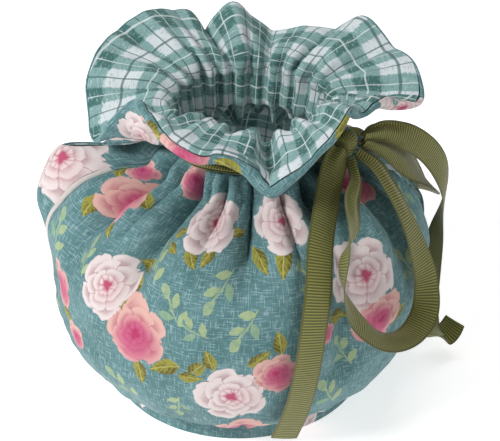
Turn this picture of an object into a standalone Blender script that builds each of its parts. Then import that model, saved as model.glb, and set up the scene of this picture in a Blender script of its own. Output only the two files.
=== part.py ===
"""A gathered, lined tea cosy with a ruffled collar, as it stands on its hem.

The cosy is a tube of two layers, a printed outer cloth and a checked lining. Each layer is cut as a
front and a back panel, joined at the two sides. The back panel has a hole for a spout, and the seam
on the other side is left open for a handle. An elastic casing draws the tube in at the neck, the
cloth above it spreads as a ruffle, and a ribbon is tied round the neck in a bow over the handle side.

Metres, +Z up, the hem stands on z = 0. +X is the handle side, -X the spout side and -Y the front.
The tables are measured from the middle of the hem, and the finished pieces are then moved so that the
origin lies under the middle of the whole cosy, bow included.
A turn is an angle in degrees round the cosy, clockwise from above: 0 handle, 90 front, 180 spout,
270 back. A way runs up the cloth: 0 to 1 hem to neck, 1 to 2 the casing, 2 to 3 the ruffle.
"""

import math

import bmesh
import bpy
import numpy as np
from mathutils import Vector

ORIGIN_SHIFT = (-0.01025, 0.00143, 0.0)  # from the middle of the hem to the middle of the whole cosy

# Cloth
OUTER_THICKNESS = 0.0013
LINING_THICKNESS = 0.0011
LAYER_GAP = 0.0003
SEAM_GAP = 0.0003
LINING_HEM_RISE = 0.0006  # the lining is turned up just clear of the surface
SPOUT_SEAM = 169.5  # turn of the seam on the spout's side
SEAM_LAP = 0.0012  # how far the front panel stands proud of the back panel along that seam

# Body, from the hem up to the drawn-in neck, away from the spout and over its root
BODY_PROFILE = (
    # radius, height
    (0.0630, 0.0000),
    (0.0630, 0.0070),
    (0.0745, 0.0180),
    (0.0850, 0.0360),
    (0.0880, 0.0570),
    (0.0872, 0.0780),
    (0.0805, 0.0970),
    (0.0670, 0.1115),
    (0.0500, 0.1190),
    (0.0390, 0.1220),
    (0.0345, 0.1260),
)
SPOUT_PROFILE = (
    # radius, height
    (0.0630, 0.0000),
    (0.0630, 0.0070),
    (0.0745, 0.0180),
    (0.0850, 0.0360),
    (0.0878, 0.0560),
    (0.0882, 0.0750),
    (0.0955, 0.1010),
    (0.0885, 0.1170),
    (0.0700, 0.1240),
    (0.0480, 0.1220),
    (0.0345, 0.1260),
)
SPOUT_SPREAD = 18.0  # degrees over which the cloth swells out round the spout's root
NECK_SHIFT = 0.0060  # the gathered neck sits towards the handle
CASING_TOP_RADIUS = 0.0360
CASING_TOP_HEIGHT = 0.1420

BODY_FOLDS = (
    # turn, half width in degrees, depth, share of the way up where it ends
    (30.0, 7.0, 0.0040, 0.45),
    (57.0, 8.0, 0.0050, 0.25),
    (87.0, 8.0, 0.0070, 0.62),
    (106.0, 5.0, 0.0030, 0.75),
    (126.0, 9.0, 0.0070, 0.50),
    (155.0, 7.0, 0.0050, 0.50),
    (168.0, 4.0, 0.0045, 0.48),
    (196.0, 6.0, 0.0040, 0.55),
    (212.0, 7.0, 0.0050, 0.55),
    (237.0, 7.0, 0.0060, 0.50),
    (262.0, 8.0, 0.0060, 0.55),
    (288.0, 7.0, 0.0060, 0.45),
    (312.0, 8.0, 0.0060, 0.55),
    (338.0, 7.0, 0.0050, 0.45),
)

# Neck gathers
FRONT_GATHERS = 8
BACK_GATHERS = 8
GATHER_DEPTH = 0.0018

# Ruffle edge, station by station round the cosy
RUFFLE_EDGE = (
    # x, y, z, rise of the cloth above the casing before it turns out
    (0.0840, 0.0000, 0.1430, 0.010),  # handle seam
    (0.0620, -0.0110, 0.1460, 0.012),
    (0.0510, -0.0200, 0.1460, 0.016),  # notch behind the tip
    (0.0470, -0.0320, 0.1540, 0.018),  # tip
    (0.0420, -0.0440, 0.1510, 0.018),
    (0.0315, -0.0530, 0.1430, 0.015),
    (0.0235, -0.0580, 0.1345, 0.011),
    (0.0145, -0.0595, 0.1290, 0.009),  # drooping lip
    (0.0055, -0.0575, 0.1335, 0.011),
    (-0.0010, -0.0555, 0.1395, 0.013),
    (-0.0080, -0.0555, 0.1435, 0.015),
    (-0.0180, -0.0560, 0.1440, 0.017),
    (-0.0290, -0.0500, 0.1470, 0.017),
    (-0.0380, -0.0380, 0.1530, 0.017),
    (-0.0460, -0.0240, 0.1560, 0.016),  # peak
    (-0.0550, -0.0190, 0.1450, 0.016),
    (-0.0640, -0.0130, 0.1310, 0.012),  # hanging corner
    (-0.0670, 0.0000, 0.1370, 0.014),  # over the spout
    (-0.0690, 0.0110, 0.1460, 0.012),
    (-0.0660, 0.0230, 0.1540, 0.010),
    (-0.0600, 0.0350, 0.1590, 0.010),
    (-0.0520, 0.0450, 0.1620, 0.010),
    (-0.0370, 0.0560, 0.1635, 0.010),
    (-0.0240, 0.0600, 0.1610, 0.010),
    (-0.0170, 0.0565, 0.1530, 0.010),  # notch behind the fan
    (-0.0100, 0.0590, 0.1590, 0.010),
    (-0.0030, 0.0610, 0.1640, 0.010),  # crest
    (0.0070, 0.0610, 0.1570, 0.010),
    (0.0170, 0.0590, 0.1520, 0.010),
    (0.0310, 0.0580, 0.1530, 0.010),
    (0.0470, 0.0540, 0.1550, 0.010),
    (0.0580, 0.0500, 0.1620, 0.008),  # pointed corner
    (0.0730, 0.0300, 0.1560, 0.008),
    (0.0800, 0.0160, 0.1550, 0.008),
)
SPOUT_STATION = 17  # counted from the handle seam, it lies at a half turn

# Where the panels' rows and columns of corners lie
BODY_WAYS = (0.0, 0.05, 0.14, 0.25, 0.37, 0.49, 0.60, 0.70, 0.79, 0.87, 0.94)
NECK_WAYS = (1.0, 1.3, 1.65)
RUFFLE_WAYS = (2.0, 2.18, 2.38, 2.6, 2.8, 3.0)
WAYS = BODY_WAYS + NECK_WAYS + RUFFLE_WAYS
FRONT_TURNS = tuple(np.linspace(0.0, SPOUT_SEAM - 4.5, 40)) + (SPOUT_SEAM - 2.0, SPOUT_SEAM)
BACK_TURNS = (SPOUT_SEAM, SPOUT_SEAM + 3.5) + tuple(np.linspace(SPOUT_SEAM + 7.0, 360.0, 46))

# Handle opening: the ways where it starts and ends, half its width, degrees of cloth that bow round it
HANDLE_OPENING = (0.20, 0.93, 0.0080, 26.0)
# Spout hole: the columns and rows of the back panel that it takes out
SPOUT_HOLE = ((2, 7), (7, 10))

# Ribbon
RIBBON_WIDTH = 0.0125
RIBBON_THICKNESS = 0.0010
RIBBON_STEPS = 28
BELLY_HEIGHT = 0.070  # above it a ribbon's face turns upwards with the body
KNOT_CENTRE = (0.0477, -0.0166, 0.1325)
KNOT_SIZE = (0.0110, 0.0140, 0.0120)
KNOT_TURN = 21.7
BAND_RADIUS = 0.0398
BAND_HEIGHT = 0.1320
BAND_WIDTH = 0.0050  # the ribbon bunches up in the groove
BAND_REACH = 10.6  # degrees from the knot's middle to where the band starts

FRONT_TAIL = (
    # x, y, z, width, twist in degrees from lying flat on the body
    (0.0454, -0.0243, 0.1330, 0.0055, 0.0),
    (0.0423, -0.0305, 0.1300, 0.0100, 0.0),
    (0.0395, -0.0400, 0.1245, 0.0125, 0.0),
    (0.0370, -0.0530, 0.1185, 0.0125, 0.0),
    (0.0345, -0.0675, 0.1105, 0.0125, 0.0),
    (0.0335, -0.0800, 0.0975, 0.0125, 0.0),
    (0.0315, -0.0875, 0.0800, 0.0125, 0.0),
    (0.0290, -0.0900, 0.0590, 0.0125, 0.0),
    (0.0255, -0.0880, 0.0380, 0.0125, 0.0),
    (0.0205, -0.0850, 0.0200, 0.0125, 0.0),
)
FRONT_LOOP = (
    (0.0498, -0.0254, 0.1290, 0.0045, 0.0),
    (0.0515, -0.0350, 0.1235, 0.0080, 10.0),
    (0.0490, -0.0465, 0.1210, 0.0110, 25.0),
    (0.0485, -0.0580, 0.1170, 0.0125, 45.0),
    (0.0445, -0.0720, 0.1080, 0.0125, 75.0),
    (0.0440, -0.0790, 0.0970, 0.0125, 55.0),
    (0.0485, -0.0805, 0.0845, 0.0125, 45.0),
    (0.0575, -0.0790, 0.0730, 0.0125, 55.0),
    (0.0675, -0.0720, 0.0640, 0.0125, 75.0),
    (0.0770, -0.0625, 0.0610, 0.0125, 85.0),
    (0.0835, -0.0530, 0.0650, 0.0125, 70.0),
    (0.0845, -0.0455, 0.0760, 0.0125, 40.0),
    (0.0805, -0.0420, 0.0910, 0.0125, 15.0),
    (0.0745, -0.0380, 0.1060, 0.0125, 0.0),
    (0.0670, -0.0300, 0.1180, 0.0110, 0.0),
    (0.0590, -0.0235, 0.1270, 0.0080, 0.0),
    (0.0525, -0.0212, 0.1305, 0.0045, 0.0),
)
BACK_LOOP = (
    (0.0555, -0.0169, 0.1325, 0.0045, 0.0),
    (0.0655, -0.0110, 0.1265, 0.0090, 0.0),
    (0.0760, -0.0040, 0.1150, 0.0125, 5.0),
    (0.0860, 0.0080, 0.1020, 0.0125, 15.0),
    (0.0925, 0.0190, 0.0890, 0.0125, 35.0),
    (0.0930, 0.0300, 0.0795, 0.0125, 60.0),
    (0.0915, 0.0385, 0.0765, 0.0125, 70.0),
    (0.0880, 0.0440, 0.0840, 0.0125, 60.0),
    (0.0815, 0.0405, 0.0970, 0.0125, 30.0),
    (0.0715, 0.0270, 0.1130, 0.0110, 10.0),
    (0.0615, 0.0060, 0.1240, 0.0080, 0.0),
    (0.0565, -0.0157, 0.1295, 0.0045, 0.0),
)
BACK_TAIL = (
    (0.0556, -0.0170, 0.1358, 0.0045, 0.0),
    (0.0650, -0.0110, 0.1350, 0.0090, 0.0),
    (0.0750, -0.0070, 0.1305, 0.0125, 0.0),
    (0.0850, -0.0030, 0.1225, 0.0125, 0.0),
    (0.0930, 0.0010, 0.1110, 0.0125, 0.0),
    (0.0975, 0.0040, 0.0970, 0.0125, 5.0),
    (0.0975, 0.0060, 0.0820, 0.0125, 15.0),
    (0.0960, 0.0070, 0.0660, 0.0125, 25.0),
    (0.0955, 0.0060, 0.0500, 0.0125, 33.0),
    (0.0955, 0.0040, 0.0360, 0.0125, 33.0),
    (0.0960, 0.0010, 0.0250, 0.0125, 36.0),
    (0.0975, -0.0010, 0.0165, 0.0125, 45.0),
    (0.1005, -0.0005, 0.0115, 0.0125, 75.0),
    (0.1040, 0.0010, 0.0110, 0.0125, 95.0),
    (0.1075, 0.0030, 0.0135, 0.0125, 120.0),
    (0.1100, 0.0050, 0.0175, 0.0125, 137.0),
)

COLOURS = {
    # red, green, blue, roughness
    "printed_cloth": (0.42, 0.62, 0.60, 0.85),
    "checked_lining": (0.62, 0.74, 0.74, 0.85),
    "ribbon": (0.36, 0.37, 0.10, 0.60),
}


def wrapped(degrees):
    """Degrees brought between -180 and 180."""
    return (degrees + 180.0) % 360.0 - 180.0


def eased(share):
    """A share from 0 to 1 that starts and ends gently."""
    share = np.clip(share, 0.0, 1.0)
    return share * share * (3.0 - 2.0 * share)


def through(knots, values, at):
    """A smooth curve through values at the knots, read at each place in at."""
    knots, values = np.asarray(knots, float), np.asarray(values, float)
    slopes = np.gradient(values, knots, axis=0)
    i = np.clip(np.searchsorted(knots, at, side="right") - 1, 0, len(knots) - 2)
    span = knots[i + 1] - knots[i]
    t = ((at - knots[i]) / span)[..., None]
    span = span[..., None]
    start, end = values[i], values[i + 1]
    return (
        (2 * t**3 - 3 * t**2 + 1) * start
        + (t**3 - 2 * t**2 + t) * span * slopes[i]
        + (3 * t**2 - 2 * t**3) * end
        + (t**3 - t**2) * span * slopes[i + 1]
    )


def shares_along(points):
    """How far along a chain of points each one lies, from 0 to 1."""
    steps = np.linalg.norm(np.diff(points, axis=0), axis=1)
    along = np.concatenate([[0.0], np.cumsum(steps)])
    return along / along[-1]


def station_turns():
    """The turn of each ruffle station, worked out from the length of edge between stations."""
    edge = np.array([row[:3] for row in RUFFLE_EDGE])
    ring = np.vstack([edge, edge[:1]])
    front = 180.0 * shares_along(ring[: SPOUT_STATION + 1])
    back = 180.0 + 180.0 * shares_along(ring[SPOUT_STATION:])
    return np.concatenate([front, back[1:-1]])


def round_the_ruffle(turn):
    """The ruffle's edge point and its rise at each turn."""
    knots, values = station_turns(), np.array(RUFFLE_EDGE)
    knots = np.concatenate([knots[-2:] - 360.0, knots, knots[:2] + 360.0])
    values = np.concatenate([values[-2:], values, values[:2]])
    found = through(knots, values, np.mod(turn, 360.0))
    return found[..., :3], found[..., 3]


def gathered(turn):
    """The neck's gathers as a wave from -1 to 1 round the cosy, level at both seams."""
    counts = (0, FRONT_GATHERS, FRONT_GATHERS + BACK_GATHERS)
    count = np.interp(np.mod(turn, 360.0), (0.0, SPOUT_SEAM, 360.0), counts)
    drift = 0.10 * np.sin(math.pi * count) + 0.16 * np.sin(math.pi * count / 2)
    return np.cos(2 * math.pi * (count + drift)) * (1.0 + 0.25 * np.sin(2.3 * count))


def body_point(turn, share):
    """The cloth's middle surface between hem and neck."""
    plain = through(shares_along(np.array(BODY_PROFILE)), BODY_PROFILE, share)
    spout = through(shares_along(np.array(SPOUT_PROFILE)), SPOUT_PROFILE, share)
    over_spout = np.exp(-((wrapped(turn - 180.0) / SPOUT_SPREAD) ** 2))[..., None]
    radius, height = np.moveaxis(plain + (spout - plain) * over_spout, -1, 0)
    trough = np.zeros_like(radius)
    for at, width, depth, foot in BODY_FOLDS:
        fade = eased((share - foot) / 0.25) * (1.0 - 0.75 * eased((share - 0.9) / 0.1))
        trough += depth * np.exp(-((wrapped(turn - at) / width) ** 2)) * fade
    radius = radius - 0.8 * trough + GATHER_DEPTH * gathered(turn) * eased((share - 0.86) / 0.14)
    height = height - 0.6 * trough * eased((share - 0.5) / 0.4)
    centre_x = NECK_SHIFT * eased((share - 0.25) / 0.75)
    angle = np.radians(-turn)
    return np.stack([centre_x + radius * np.cos(angle), radius * np.sin(angle), height], axis=-1)


def neck_point(turn, radius, height):
    """A point on a level ring round the gathered neck."""
    angle = np.radians(-turn)
    radius = radius + GATHER_DEPTH * gathered(turn)
    return np.stack([NECK_SHIFT + radius * np.cos(angle), radius * np.sin(angle), height], axis=-1)


def casing_point(turn, share):
    """The elastic casing, from the neck up to the foot of the ruffle."""
    waist_radius, waist_height = BODY_PROFILE[-1]
    radius = waist_radius + (CASING_TOP_RADIUS - waist_radius) * eased(share)
    height = waist_height + (CASING_TOP_HEIGHT - waist_height) * share
    return neck_point(turn, radius, height)


def ruffle_point(turn, share):
    """The ruffle, which rises from the casing and turns out to its edge."""
    foot = neck_point(turn, CASING_TOP_RADIUS, CASING_TOP_HEIGHT + 0.0 * turn)
    edge, rise = round_the_ruffle(turn)
    top = foot + np.stack([0.0 * rise, 0.0 * rise, rise], axis=-1)
    share = share[..., None]
    return (1 - share) ** 2 * foot + 2 * share * (1 - share) * top + share**2 * edge


def cloth_point(turn, way):
    """The middle of the two layers of cloth at each turn and way."""
    turn, way = np.broadcast_arrays(np.asarray(turn, float), np.asarray(way, float))
    low = body_point(turn, np.clip(way, 0.0, 1.0))
    middle = casing_point(turn, np.clip(way - 1.0, 0.0, 1.0))
    high = ruffle_point(turn, np.clip(way - 2.0, 0.0, 1.0))
    way = way[..., None]
    return np.where(way < 1.0, low, np.where(way < 2.0, middle, high))


def cloth_directions(turn, way):
    """The cloth's outward direction and its direction of growing turn, from short steps over it."""
    round_step, up_step = 1.6, 0.04
    across = cloth_point(turn + round_step, way) - cloth_point(turn - round_step, way)
    low, high = np.clip(way - up_step, 0.0, 3.0), np.clip(way + up_step, 0.0, 3.0)
    upward = cloth_point(turn, high) - cloth_point(turn, low)
    normal = np.cross(upward, across)
    normal /= np.linalg.norm(normal, axis=-1, keepdims=True)
    return normal, across / np.linalg.norm(across, axis=-1, keepdims=True)


def seam_shift(turn, way, turns):
    """How far the cloth draws back from its panel's two edges, for the seams and the handle opening."""
    foot, top, half_width, spread = HANDLE_OPENING
    opened = half_width * np.sin(math.pi * np.clip((way - foot) / (top - foot), 0.0, 1.0)) ** 0.8
    shift = np.zeros_like(turn)
    for seam, side in ((turns[0], 1.0), (turns[-1], -1.0)):
        away = np.abs(turn - seam)
        shift += side * SEAM_GAP / 2 * (away < 1e-3)
        if seam != SPOUT_SEAM:
            shift += side * opened * np.clip(1.0 - away / spread, 0.0, 1.0) ** 1.5
    return shift


def rounded_hole(column, row):
    """Moves the grid's corners near the spout hole, so that the block of squares it takes out turns oval."""
    middles = [sum(ends) / 2 for ends in SPOUT_HOLE]
    halves = [(ends[1] - ends[0]) / 2 for ends in SPOUT_HOLE]
    u, v = (column - middles[0]) / halves[0], (row - middles[1]) / halves[1]
    near_u, near_v = np.clip(u, -1.0, 1.0), np.clip(v, -1.0, 1.0)
    away = np.maximum((np.abs(u) - 1.0) * halves[0], (np.abs(v) - 1.0) * halves[1])
    fade = np.clip(1.0 - away / 2.0, 0.0, 1.0)
    column = column + fade * halves[0] * near_u * (np.sqrt(1.0 - near_v**2 / 2) - 1.0)
    row = row + fade * halves[1] * near_v * (np.sqrt(1.0 - near_u**2 / 2) - 1.0)
    return column, row


def laid_slab(name, columns, rows, place, hole=None):
    """A flat two-sided slab of triangles, less any hole, whose corners place() then lays on its form."""
    mesh = bmesh.new()
    bmesh.ops.create_grid(mesh, x_segments=columns, y_segments=rows, size=0.5)
    if hole:
        taken = []
        for face in mesh.faces:
            middle = face.calc_center_median()
            column, row = (middle.x + 0.5) * columns, (middle.y + 0.5) * rows
            if hole[0][0] < column < hole[0][1] and hole[1][0] < row < hole[1][1]:
                taken.append(face)
        bmesh.ops.delete(mesh, geom=taken, context="FACES")
    bmesh.ops.triangulate(mesh, faces=mesh.faces, quad_method="FIXED")
    raised = bmesh.ops.extrude_face_region(mesh, geom=mesh.faces[:])["geom"]
    for vert in raised:
        if isinstance(vert, bmesh.types.BMVert):
            vert.co.z = 1.0
    flat = np.array([vert.co for vert in mesh.verts])
    laid = place((flat[:, 0] + 0.5) * columns, (flat[:, 1] + 0.5) * rows, flat[:, 2])
    for vert, point in zip(mesh.verts, laid):
        vert.co = point
    bmesh.ops.recalc_face_normals(mesh, faces=mesh.faces)
    data = bpy.data.meshes.new(name)
    mesh.to_mesh(data)
    mesh.free()
    return data


def panel(name, turns, skin, hem_rise, hole=None):
    """One panel of cloth over the given turns, between two offsets from the middle surface."""

    def place(column, row, side):
        if hole:
            column, row = rounded_hole(column, row)
        turn = np.interp(column, np.arange(len(turns)), turns)
        way = np.interp(row, np.arange(len(WAYS)), WAYS)
        normal, tangent = cloth_directions(turn, way)
        offset = skin[0] + (skin[1] - skin[0]) * side
        if turns[-1] == SPOUT_SEAM:
            offset += SEAM_LAP * np.exp(-(((turn - SPOUT_SEAM) / 2.2) ** 2)) * eased((1.0 - way) / 0.1)
        shift = seam_shift(turn, way, turns)
        points = cloth_point(turn, way) + normal * offset[:, None] + tangent * shift[:, None]
        points[way < 1e-4, 2] = hem_rise
        return points

    return laid_slab(name, len(turns) - 1, len(WAYS) - 1, place, hole)


def ribbon(name, route):
    """A flat ribbon along a route, lying flat on the body unless its twist turns it."""
    rows = np.array(route)
    reach = shares_along(rows[:, :3])

    def place(across, step, side):
        along = step / RIBBON_STEPS
        found = through(reach, rows, along)
        ahead = through(reach, rows, np.clip(along + 0.01, 0.0, 1.0))[:, :3]
        behind = through(reach, rows, np.clip(along - 0.01, 0.0, 1.0))[:, :3]
        forward = (ahead - behind) / np.linalg.norm(ahead - behind, axis=1, keepdims=True)
        outward = found[:, :3] * (1.0, 1.0, 0.0)
        outward[:, 2] = np.maximum(found[:, 2] - BELLY_HEIGHT, 0.0)
        outward -= forward * (outward * forward).sum(axis=1, keepdims=True)
        outward /= np.linalg.norm(outward, axis=1, keepdims=True)
        sideways = np.cross(forward, outward)
        twist = np.radians(found[:, 4:5])
        width_way = sideways * np.cos(twist) + outward * np.sin(twist)
        face_way = outward * np.cos(twist) - sideways * np.sin(twist)
        return (
            found[:, :3]
            + width_way * (across[:, None] - 0.5) * found[:, 3:4]
            + face_way * (side[:, None] - 0.5) * RIBBON_THICKNESS
        )

    return laid_slab(name, 1, RIBBON_STEPS, place)


def neck_band():
    """The ribbon bunched up in the groove under the ruffle, from one side of the knot to the other."""

    def place(across, step, side):
        turn = KNOT_TURN + BAND_REACH + (360.0 - 2 * BAND_REACH) * step / 60
        angle = np.radians(-turn)
        radius = BAND_RADIUS + (side - 0.5) * RIBBON_THICKNESS
        height = BAND_HEIGHT + (across - 0.5) * BAND_WIDTH
        return np.stack([NECK_SHIFT + radius * np.cos(angle), radius * np.sin(angle), height], axis=-1)

    return laid_slab("ribbon_band", 1, 60, place)


def knot():
    """The tied knot that holds the loops and tails."""
    bpy.ops.mesh.primitive_cube_add(size=1.0, location=KNOT_CENTRE)
    tied = bpy.context.active_object
    tied.name = "ribbon_knot"
    for vert in tied.data.vertices:
        vert.co = [reach * size for reach, size in zip(vert.co, KNOT_SIZE)]
    tied.rotation_euler.z = math.radians(-KNOT_TURN)
    rounding = tied.modifiers.new("rounding", "BEVEL")
    rounding.width = 0.002
    rounding.segments = 3
    return tied


def material(name):
    red, green, blue, roughness = COLOURS[name]
    finish = bpy.data.materials.new(name)
    finish.use_nodes = True
    shader = finish.node_tree.nodes["Principled BSDF"]
    shader.inputs["Base Color"].default_value = (red, green, blue, 1.0)
    shader.inputs["Roughness"].default_value = roughness
    shader.inputs["Metallic"].default_value = 0.0
    return finish


def main():
    for old in list(bpy.data.objects):
        bpy.data.objects.remove(old)
    cosy = bpy.data.collections.new("tea_cosy")
    bpy.context.scene.collection.children.link(cosy)
    finishes = {name: material(name) for name in COLOURS}

    layers = (
        # layer, offsets of its two faces, height of its hem, finish
        ("outer", (LAYER_GAP / 2, LAYER_GAP / 2 + OUTER_THICKNESS), 0.0, "printed_cloth"),
        ("lining", (-LAYER_GAP / 2 - LINING_THICKNESS, -LAYER_GAP / 2), LINING_HEM_RISE, "checked_lining"),
    )
    pieces = []
    for layer, skin, hem_rise, finish in layers:
        front = panel(f"{layer}_front", FRONT_TURNS, skin, hem_rise)
        back = panel(f"{layer}_back", BACK_TURNS, skin, hem_rise, SPOUT_HOLE)
        for data in (front, back):
            pieces.append((bpy.data.objects.new(data.name, data), finish))
    for name, route in (
        ("ribbon_front_tail", FRONT_TAIL),
        ("ribbon_front_loop", FRONT_LOOP),
        ("ribbon_back_loop", BACK_LOOP),
        ("ribbon_back_tail", BACK_TAIL),
    ):
        pieces.append((bpy.data.objects.new(name, ribbon(name, route)), "ribbon"))
    band = neck_band()
    pieces.append((bpy.data.objects.new(band.name, band), "ribbon"))
    pieces.append((knot(), "ribbon"))

    for piece, finish in pieces:
        for holder in list(piece.users_collection):
            holder.objects.unlink(piece)
        cosy.objects.link(piece)
        piece.location += Vector(ORIGIN_SHIFT)
        piece.data.materials.clear()
        piece.data.materials.append(finishes[finish])
        piece.data.shade_smooth()
        piece.data.set_sharp_from_angle(angle=math.radians(50.0))


main()
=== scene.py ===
import math

import bpy
import numpy as np
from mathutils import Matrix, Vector


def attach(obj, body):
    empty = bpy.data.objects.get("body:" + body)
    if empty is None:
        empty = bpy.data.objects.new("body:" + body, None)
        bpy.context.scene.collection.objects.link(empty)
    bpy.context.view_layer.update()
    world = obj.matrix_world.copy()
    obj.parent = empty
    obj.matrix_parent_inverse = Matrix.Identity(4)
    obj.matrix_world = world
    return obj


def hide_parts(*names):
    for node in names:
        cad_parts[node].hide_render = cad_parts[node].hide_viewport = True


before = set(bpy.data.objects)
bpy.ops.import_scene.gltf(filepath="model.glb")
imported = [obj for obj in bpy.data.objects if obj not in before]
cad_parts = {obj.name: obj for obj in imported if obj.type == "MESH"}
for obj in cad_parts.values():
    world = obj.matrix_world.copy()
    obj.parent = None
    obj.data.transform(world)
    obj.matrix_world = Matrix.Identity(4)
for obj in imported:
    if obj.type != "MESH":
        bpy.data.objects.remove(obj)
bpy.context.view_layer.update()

for node in bpy.context.selected_objects:
    node.select_set(False)

# Printed outer cloth.
# A front and a back panel of medium-weight cotton with a flower print, gathered at the neck by elastic
# in a casing. The front panel laps over the back one at the seam by the spout hole, and the seam on the
# other side is left open as the handle slit.
HEM_MIDDLE = np.array((-0.01025, 0.00143, 0.0))
SPOUT_SEAM = 169.5
SEAM_LAP = 0.0012
CLOTH_THICKNESS = 0.0006
LAYER_CLEARANCE = 0.00006
SHEET_CLEARANCE = 0.0001
HEM_LIFT = 0.0002
FOLD_DEPTH = 1.65
NECK_PUFF = 0.0034
WAY_STEP = 0.008
ROLL_STEPS = 12
ROLL_REACH = 2.9
EDGE_ROLL = (
    # turn, radius of the roll of printed cloth along the ruffle's edge
    (0.0, 0.0026), (22.0, 0.0026), (34.0, 0.0014), (44.0, 0.0018), (54.0, 0.0022), (64.0, 0.0014),
    (75.0, 0.0032), (90.0, 0.0036), (101.0, 0.0026), (130.0, 0.0025), (146.0, 0.0014), (165.0, 0.0006),
    (345.0, 0.0006), (356.0, 0.0022), (360.0, 0.0026),
)
# The ruffle's fold turned out beside the spout hole: turn, half width in degrees, reach, drop.
SPOUT_FOLD = (151.0, 15.0, 0.014, 0.034)
RUFFLE_CREASES = (
    # turn, half width in degrees, depth towards the underside, share of the ruffle where it starts
    (82.0, 4.5, 0.005, 0.2), (92.0, 3.5, -0.0025, 0.4), (70.0, 5.0, -0.002, 0.2),
    (105.0, 3.5, 0.002, 0.1), (118.0, 3.5, -0.0018, 0.1), (135.0, 3.0, 0.0022, 0.00),
    (158.0, 4.0, 0.002, 0.1), (174.0, 3.5, -0.002, 0.1), (187.0, 3.0, 0.0024, 0.00),
    (203.0, 3.5, -0.0022, 0.1), (216.0, 3.0, 0.0036, 0.00), (228.0, 4.0, -0.0022, 0.05),
    (239.0, 2.6, 0.0036, 0.00), (253.0, 3.2, 0.0042, 0.00), (266.0, 4.0, -0.003, 0.05),
    (283.0, 3.0, 0.0036, 0.00), (294.0, 3.2, -0.0022, 0.1), (305.0, 3.0, 0.003, 0.00),
    (318.0, 4.0, -0.0022, 0.1), (333.0, 3.2, 0.0026, 0.05), (348.0, 4.0, -0.0018, 0.1),
    (12.0, 4.0, 0.0022, 0.05), (35.0, 4.0, -0.002, 0.1), (54.0, 4.0, 0.0024, 0.1),
)
BODY_PROFILE = (
    # radius, height
    (0.063, 0.0000), (0.063, 0.007), (0.0745, 0.018), (0.085, 0.036), (0.088, 0.057), (0.0872, 0.078),
    (0.0805, 0.097), (0.067, 0.1115), (0.05, 0.119), (0.039, 0.122), (0.0345, 0.126),
)
SPOUT_PROFILE = (
    # radius, height
    (0.063, 0.0000), (0.063, 0.007), (0.0745, 0.018), (0.085, 0.036), (0.0878, 0.056), (0.0882, 0.075),
    (0.0955, 0.101), (0.0885, 0.117), (0.07, 0.124), (0.048, 0.122), (0.0345, 0.126),
)
SPOUT_SPREAD = 18.0
NECK_SHIFT = 0.006
CASING_TOP_RADIUS = 0.036
CASING_TOP_HEIGHT = 0.142
GATHERS = (
    # turn, half width on the body in degrees, depth on the body, share of the way up where it ends,
    # depth at the neck
    (4.0, 3.5, 0.002, 0.62, 0.0016), (17.0, 4.0, 0.0022, 0.6, 0.0022), (30.0, 7.0, 0.004, 0.45, 0.0026),
    (43.5, 3.5, 0.0022, 0.66, 0.0018), (57.0, 8.0, 0.005, 0.25, 0.0026), (72.0, 4.0, 0.004, 0.62, 0.0022),
    (89.5, 7.5, 0.0094, 0.58, 0.003), (97.0, 3.0, 0.0018, 0.7, 0.0018),
    (107.0, 5.0, 0.0052, 0.64, 0.0024), (116.5, 3.2, 0.0022, 0.66, 0.0018),
    (127.0, 9.0, 0.0098, 0.46, 0.003), (140.5, 3.6, 0.003, 0.55, 0.0018),
    (154.0, 7.0, 0.0074, 0.5, 0.0026), (168.0, 4.0, 0.0045, 0.48, 0.002), (182.0, 4.0, 0.001, 0.9, 0.002),
    (196.0, 6.0, 0.004, 0.55, 0.0024), (212.0, 7.0, 0.005, 0.55, 0.0026),
    (225.0, 3.5, 0.0024, 0.62, 0.0018), (237.0, 7.0, 0.006, 0.5, 0.0028),
    (250.0, 3.5, 0.0024, 0.66, 0.002), (262.0, 8.0, 0.006, 0.55, 0.0028),
    (275.0, 3.5, 0.0022, 0.7, 0.0018), (288.0, 7.0, 0.006, 0.45, 0.0026),
    (300.0, 3.6, 0.0024, 0.64, 0.002), (312.0, 8.0, 0.006, 0.55, 0.0028),
    (325.0, 3.5, 0.0022, 0.62, 0.0018), (338.0, 7.0, 0.005, 0.45, 0.0026),
    (350.0, 3.5, 0.0022, 0.64, 0.0018),
)
HEM_PUCKERS = (
    # turn, half width in degrees, depth, height where it ends
    (12.0, 3.0, 0.0012, 0.03), (33.0, 2.6, 0.0014, 0.028), (61.0, 3.0, 0.0014, 0.03),
    (78.0, 2.2, 0.0016, 0.026), (88.0, 2.4, 0.0018, 0.03), (99.0, 2.2, 0.0016, 0.026),
    (112.0, 2.8, 0.0018, 0.034), (126.0, 2.4, 0.0016, 0.03), (141.0, 3.0, 0.002, 0.036),
    (157.0, 2.6, 0.0014, 0.03), (178.0, 3.0, 0.0012, 0.028), (203.0, 3.0, 0.0014, 0.03),
    (229.0, 3.0, 0.0016, 0.03), (251.0, 2.8, 0.0014, 0.028), (277.0, 3.0, 0.0016, 0.032),
    (303.0, 3.0, 0.0014, 0.03), (326.0, 2.8, 0.0014, 0.028), (347.0, 3.0, 0.0012, 0.026),
)
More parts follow.
